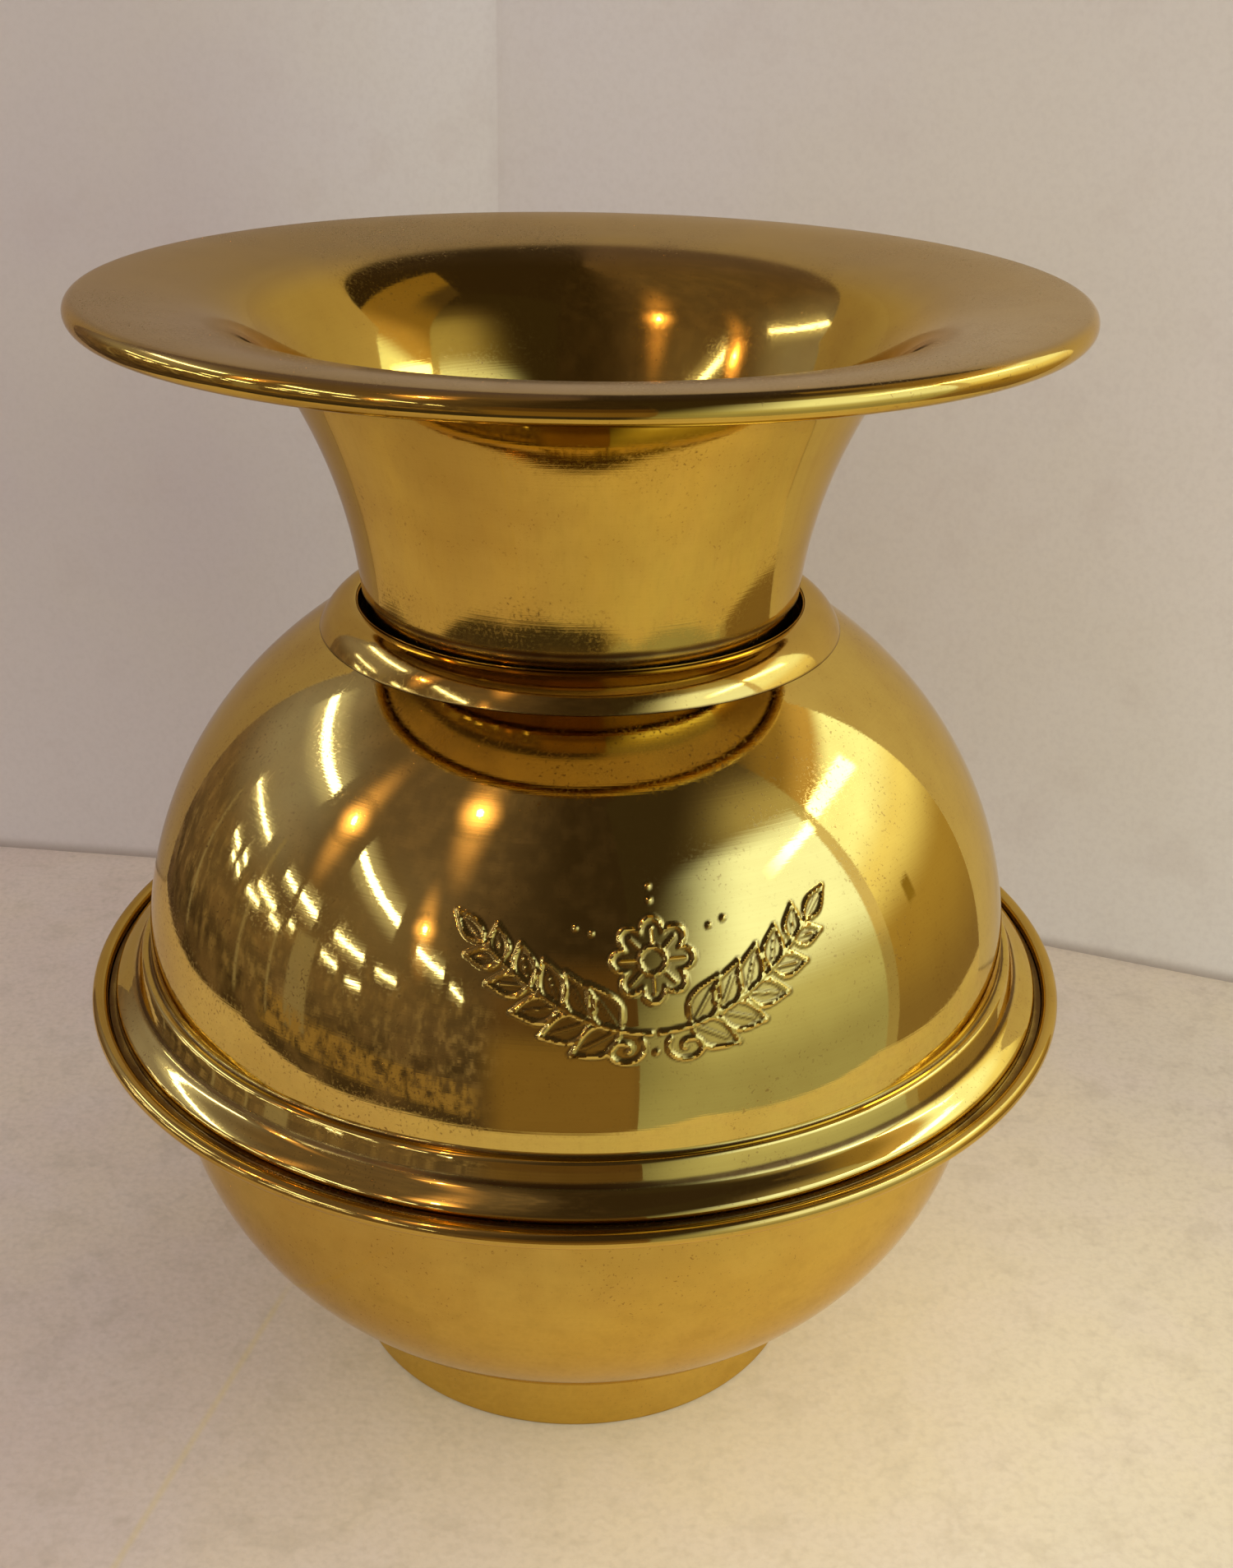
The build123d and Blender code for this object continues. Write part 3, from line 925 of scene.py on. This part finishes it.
def hall_view(wire):
    """The dim hall that mirrors see: soft-edged bands, posts, clutter, tables and tube lamps."""
    x, y, z = wire.split(wire.node("TexCoord", {}, {}, out="Generated"))
    az = wire.math("WRAP", wire.azimuth(x, y) - turn_to_front, 180.0, -180.0)
    el = wire.math("ARCSINE", z) * (180 / math.pi)
    patches = wire.noise(wire.join(az * 0.11, el * 0.16, 0.0), 1.0, 3.0, 0.6)
    clutter = wire.noise(wire.join(az * 0.38, el * 0.22, 3.0), 1.0, 3.0, 0.7)
    ahead = az.window(-21, 17, 5)
    right_side = el.ramp(26, 38).blend((0.5, 0.4, 0.22), hall_dark)

    hall = az.ramp(-50, 0).blend((0.148, 0.108, 0.118), hall_dark).layers(
        (el.fall(-13, 1), (0.065, 0.046, 0.046)),
        (clutter.ramp(0.45, 0.68) * az.fall(-25, -15) * el.window(-14, 9, 4),
         (0.27, 0.205, 0.2)),
        (patches.ramp(0.4, 0.7) * az.ramp(-40, -10, 0.5, 0.1), (0.25, 0.175, 0.175)),
        (az.window(-135, -92, 14) * el.window(13, 42, 9) * 0.7, (0.42, 0.42, 0.7)),
        (az.window(-70, -40, 14) * el.window(14, 36, 10) * 0.5, (0.26, 0.21, 0.24)))
    for middle, half, top in posts:
        post = az.window(middle - half, middle + half, 0.4) * el.window(-14, top, 1.0)
        hall = (post * 0.75).blend(hall, (0.34, 0.3, 0.34))
    tables = az.window(-84, -24, 3) * (el + (az + 50) * 0.12).window(-21, -12, 0.8)
    hall = hall.layers(
        (tables * clutter.ramp(0.4, 0.55), (0.32, 0.22, 0.14)),
        (ahead * el.window(2, 22, 5) * 0.45, (0.2, 0.11, 0.045)),
        (ahead * el.fall(-4, 6) * 0.7, (0.31, 0.2, 0.09)),
        (az.window(17, 130, 3), right_side))
    floor = az.ramp(8, 22).blend((0.055, 0.045, 0.045), (0.4, 0.34, 0.22))
    hall = el.ramp(-34, -25).blend(floor, hall)

    light = None
    for start, low, end, high, half in tube_lamps:
        slope = (high - low) / (end - start)
        off = (el - (az * slope + (low - start * slope))).size()
        tube = off.fall(half * 0.7, half * 1.25) + off.ramp(0, half * 6, 0.07, 0)
        lit = az.window(start, end, 0.5) * tube
        light = lit if light is None else light.at_least(lit)
    return hall, light.blend(BLACK, (7.0, 7.6, 10.5))


def light_world():
    """Camera rays meet a plain pale tone, mirror rays the painted room, and all other rays even light."""
    world = bpy.data.worlds.new("hall")
    bpy.context.scene.world = world
    world.use_nodes = True
    tree = world.node_tree
    wire = Wire(tree)
    add = {"data_type": "RGBA", "blend_type": "ADD"}
    hall, lamps = hall_view(wire)
    hall = wire.node("Mix", add, {0: 1.0, 6: hall, 7: lamps}, out=2)
    even = tree.nodes["Background"]
    plug(even, 0, wire.ray("Is Camera Ray").blend((1.00, 0.99, 0.98), (0.5, 0.42, 0.38)))
    mirrored = wire.node("Background", {}, {0: hall})
    pick = wire.node("MixShader", {}, {0: wire.ray("Is Glossy Ray"), 1: Wire(tree, even.outputs[0]),
                                       2: mirrored})
    plug(tree.nodes["World Output"], 0, pick)


def light_lamp():
    """A wide soft lamp above and to the right, for the shadow at the left of the foot."""
    data = bpy.data.lights.new("soft_lamp", "AREA")
    data.shape = "DISK"
    data.size = lamp_size
    data.energy = 3.6
    data.color = (1.0, 0.86, 0.62)
    lamp = bpy.data.objects.new("soft_lamp", data)
    lamp.visible_glossy = False
    lamp.location = stage_turn @ Vector(lamp_place)
    lamp.rotation_euler = lamp.location.to_track_quat("Z", "Y").to_euler()
    bpy.context.scene.collection.objects.link(lamp)


def place_camera():
    """The camera of the photograph, turned with the stage about the height axis."""
    data = bpy.data.cameras.new("camera")
    data.lens = camera_lens
    data.clip_start = 0.01
    camera = bpy.data.objects.new("camera", data)
    facing = rotation(-camera_yaw, "Z") @ rotation(90 - camera_pitch, "X") @ rotation(camera_roll, "Z")
    camera.matrix_world = stage_turn @ Matrix.Translation(Vector(camera_place) * MM) @ facing
    bpy.context.scene.collection.objects.link(camera)
    bpy.context.scene.camera = camera


# What only mirrors see close by: a lit screen, a warm wall and three bulbs, each with its radius and the
# lean of its streak. The reaches are in radii of the bulb, and the aim is the height that the discs face
screen_line = ((160, -660), (670, -120))
warm_line = ((670, -120), (488, 315))
screen_foot = -150.0
screen_top = 1500.0
bulbs = (((-409.5, -466.2, 1037.4), 14, 13), ((-1228, -262, 1070), 17, 7.5),
         ((-462, -567, 468.3), 6, 8))
halo_reach = 10.5
streak_reach = 10.0
streak_length = 42.0
halo_aim = 0.2
disc_corners = 48


def glowing(name, strength):
    """A black surface that glows, for mirrors."""
    material, shader, wire = new_material(name, {"Base Color": (0, 0, 0, 1), "Specular IOR Level": 0.0,
                                                 "Emission Strength": strength})
    material.cycles.emission_sampling = "NONE"
    return material, shader, wire


def halo_glow(name, strength):
    """An orange glow that fades from the middle of its disc to its edge."""
    material, shader, wire = glowing(name, strength)
    x, y, _ = wire.split(wire.place())
    share = x.along_with(y).fall(0.0, 1.0)
    plug(shader, "Emission Color", (share * share).blend(BLACK, (1.0, 0.56, 0.32)))
    both = wire.node("AddShader", {}, {0: Wire(wire.tree, shader.outputs[0]),
                                       1: wire.node("BsdfTransparent", {}, {})})
    plug(wire.tree.nodes["Material Output"], 0, both)
    return material


def place_halo(title, centre, half_width, half_length, lean, material):
    """A disc of one metre in radius, scaled and set round a bulb, facing the vessel and leaning aside."""
    turns = np.arange(disc_corners) * 2 * np.pi / disc_corners
    points = np.stack([np.cos(turns), np.sin(turns), 0 * turns], 1) / MM
    halo = stage_mesh(title, points, [tuple(range(disc_corners))], material)
    spot = Vector(centre) * MM
    facing = (spot - Vector((0.0, 0.0, halo_aim))).to_track_quat("Z", "Y").to_matrix().to_4x4()
    leaning = facing @ rotation(lean, "Z")
    size = Matrix.Diagonal((half_width * MM, half_length * MM, 1.0, 1.0))
    halo.matrix_world = stage_turn @ Matrix.Translation(spot) @ leaning @ size
    for_mirrors(halo)


def screen_glow():
    """Greenish white light that grows towards the right, with a bright strip and a dim top."""
    material, shader, wire = glowing("screen_glow", 1.0)
    x, y, z = wire.split(wire.place())
    az = wire.azimuth(x, y)
    post = z.ramp(0.15, 0.27).blend((0.42, 0.35, 0.25), (0.8, 0.66, 0.42))
    upper = az.ramp(32, 74).blend((0.17, 0.14, 0.11), (0.58, 0.54, 0.44))
    strip = az.ramp(53, 66) * az.fall(76, 78) * (z - az * 0.004).window(0.272, 0.312, 0.006)
    lit = z.ramp(0.02, 0.2).blend((0.44, 0.46, 0.42), (0.67, 0.72, 0.7)).layers(
        (az.ramp(14, 44) * z.ramp(0.18, 0.34), (1.35, 1.7, 2.7)),
        (az.window(75.8, 82, 0.4) * 0.85, post),
        (z.ramp(0.6, 0.72), upper),
        (z.ramp(0.72, 1.05), (0.15, 0.12, 0.1)),
        (z.ramp(0.95, 1.3), (0.045, 0.031, 0.026)),
        ((az - z * 45).fall(-8, 27), (0.045, 0.033, 0.026)),
        (strip, (7.0, 7.3, 8.5)))
    plug(shader, "Emission Color", lit)
    return material


def warm_glow():
    """Yellow light above a brown floor, with a bright slanting strip."""
    material, shader, wire = glowing("warm_glow", 1.0)
    x, y, z = wire.split(wire.place())
    az = wire.azimuth(x, y)
    top = az.ramp(92, 102).blend((0.1, 0.07, 0.05), (0.31, 0.21, 0.08))
    strip = az.window(80.0, 103.0, 1.0) * (z + (az - 92) * 0.0055).window(0.543, 0.606, 0.006)
    lit = z.ramp(-0.04, 0.2).blend((0.28, 0.2, 0.12), (0.48, 0.35, 0.15)).layers(
        (z.ramp(0.19, 0.35), (1.25, 1.22, 0.95)),
        (z.ramp(0.34, 0.46), (1.5, 1.8, 2.2)),
        (az.window(88.8, 92.0, 0.5) * z.window(0.205, 0.258, 0.008), (0.33, 0.23, 0.06)),
        (z.ramp(0.575, 0.66), (0.72, 0.52, 0.29)),
        (z.ramp(0.66, 0.84), (0.34, 0.235, 0.1)),
        (z.ramp(0.84, 1.2), top),
        (strip, (7.0, 7.3, 8.0)))
    plug(shader, "Emission Color", lit)
    return material


def for_mirrors(obj):
    """Hides an object from all but mirror rays."""
    for title in ("camera", "diffuse", "transmission", "shadow"):
        setattr(obj, "visible_" + title, False)


def ball(centre, radius, columns=24, rows=13):
    """Points and faces of a ball: rows of latitude from pole to pole."""
    lat = np.linspace(-np.pi / 2, np.pi / 2, rows)[:, None]
    lon = np.arange(columns)[None] * 2 * np.pi / columns
    points = np.stack([np.cos(lat) * np.cos(lon), np.cos(lat) * np.sin(lon), np.sin(lat) + 0 * lon], 2)
    points = points.reshape(-1, 3) * radius + np.array(centre)
    faces = [(i * columns + j, i * columns + (j + 1) % columns, (i + 1) * columns + (j + 1) % columns,
              (i + 1) * columns + j) for i in range(rows - 1) for j in range(columns)]
    return points, faces


def build_mirrored_things():
    """The screen, the wall and the bulbs, with a round halo and a long streak of light round each bulb."""
    panels = (("lit_screen", screen_line, screen_glow()), ("warm_wall", warm_line, warm_glow()))
    for title, line, material in panels:
        points = [(x, y, height) for x, y in line for height in (screen_foot, screen_top)]
        for_mirrors(stage_mesh(title, points, [(0, 2, 3, 1)], material))
    material, shader, _ = glowing("bulb_glow", 130.0)
    shader.inputs["Emission Color"].default_value = (1.0, 0.62, 0.3, 1.0)
    halo = halo_glow("halo_glow", 3.2)
    streak = halo_glow("streak_glow", 1.0)
    for count, (centre, radius, lean) in enumerate(bulbs, 1):
        points, faces = ball(centre, radius)
        for_mirrors(stage_mesh("bulb_%d" % count, points, faces, material))
        reach = radius * halo_reach
        place_halo("halo_%d" % count, centre, reach, reach, 0.0, halo)
        place_halo("streak_%d" % count, centre, radius * streak_reach, radius * streak_length, lean, streak)


def build_stage():
    corners = [(x * table_reach, y * table_reach, 0) for x, y in ((-1, -1), (1, -1), (1, 1), (-1, 1))]
    stage_mesh("table", corners, [(0, 1, 2, 3)], table_top())
    paint = board_paint()
    for title, line in (("left_board", left_board), ("right_board", right_board)):
        points = [(x, y, height) for x, y in line for height in (0, wall_height)]
        faces = [(2 * i, 2 * i + 2, 2 * i + 3, 2 * i + 1) for i in range(len(line) - 1)]
        stage_mesh(title, points, faces, paint)
    build_mirrored_things()
    light_world()
    light_lamp()
    place_camera()
    bpy.context.scene.view_settings.view_transform = "Standard"


# Assembly

def dressed(obj, material, body, node):
    """A finished piece: it takes the place of its CAD node and rides with its body."""
    obj.data.materials.append(material)
    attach(obj, body)
    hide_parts(node)


def build_vessel(frame):
    polished = brass("polished_brass", (0.67, 0.455, 0.092), (0.55, 0.34, 0.062), 0.06, 0.55, 0.0)
    bright_dome = brass("dome_brass", (0.76, 0.555, 0.125), (0.6, 0.39, 0.08), 0.022, 0.45, 0.035)
    handled = brass("funnel_brass", (0.66, 0.44, 0.075), (0.54, 0.33, 0.055), 0.045, 0.65, 0.012,
                    (0.2935, 0.3025))
    sleeve = brass("sleeve_brass", (0.6, 0.41, 0.1), (0.44, 0.28, 0.07), 0.12, 0.8, 0.0)
    dull = brass("dull_brass", (0.5, 0.34, 0.12), (0.32, 0.19, 0.07), 0.3, 1.0, 0.03)

    # Seams: radius, height and how far the tarnish spreads from there
    foot_top_radius = foot_base_radius - foot_taper
    foot_top = (foot_top_radius, float(bowl_height_at(foot_top_radius)))
    collar_seam = (collar_seam_radius, float(dome_height_at(collar_seam_radius)), 0.5)
    bowl_seams = ((roll_inner_radius, ledge_height + 1.0, 0.8),
                  (bowl_belly_radius + 0.3, ledge_height - 2.4, 0.7), (*foot_top, 0.9))
    foot_seams = ((*foot_top, 0.7), (foot_base_radius - 1.0, 0.0, 1.3))
    dome_seams = ((dome_belly_radius + 0.4, flange_height + ridge_rise, 0.5),
                  (dome_belly_radius + 4.2, flange_height + cove_rise + 1.6, 1.0),
                  (shoulder_radius + 0.3, flange_height + 0.4, 0.6), (flange_radius, flange_height, 0.5),
                  collar_seam)
    collar_seams = (collar_seam, (socket_radius, collar_crest_height - 8.0, 4.0))
    funnel_seams = ((mouth_radius - 2 * mouth_roll - 0.3, mouth_height - mouth_roll, 0.5),
                    (neck_radius_at(spigot_depth), funnel_seat + spigot_depth, 1.2))
    spigot_seams = ((spigot_radius, funnel_seat + spigot_depth, 1.3),)

    bowl = turned("bowl_turned", bowl_sides(), wide_columns, bowl_seams)
    dressed(bowl, polished, "bowl", "lower_bowl")
    foot = turned("foot_band", foot_sides(), narrow_columns, foot_seams)
    dressed(foot, polished, "bowl", "foot_ring")
    dome = ornamented_dome("dome_turned", dome_sides(), wide_columns, dome_seams)
    dressed(dome, bright_dome, "dome", "upper_dome")
    collar = turned("collar_turned", collar_sides(), collar_columns, collar_seams)
    dressed(collar, polished, "dome", "neck_collar")
    funnel = turned("funnel_turned", funnel_sides(), wide_columns, funnel_seams)
    dressed(funnel, handled, "funnel", "mouth_funnel")
    spigot = turned("spigot_turned", spigot_sides(), narrow_columns, spigot_seams)
    dressed(spigot, sleeve, "funnel", "neck_spigot")
    for title, material in (("base_plate", dull), ("ballast", cast_iron())):
        node = frame["nodes"][title]
        node.data.materials.clear()
        node.data.materials.append(material)


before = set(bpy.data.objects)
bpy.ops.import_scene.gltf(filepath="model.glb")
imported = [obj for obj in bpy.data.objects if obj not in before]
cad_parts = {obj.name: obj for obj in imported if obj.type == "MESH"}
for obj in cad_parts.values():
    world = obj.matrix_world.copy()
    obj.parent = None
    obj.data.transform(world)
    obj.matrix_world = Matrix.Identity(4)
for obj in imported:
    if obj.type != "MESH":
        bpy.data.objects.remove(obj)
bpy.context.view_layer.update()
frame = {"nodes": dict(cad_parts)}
build_vessel(frame)
build_stage()
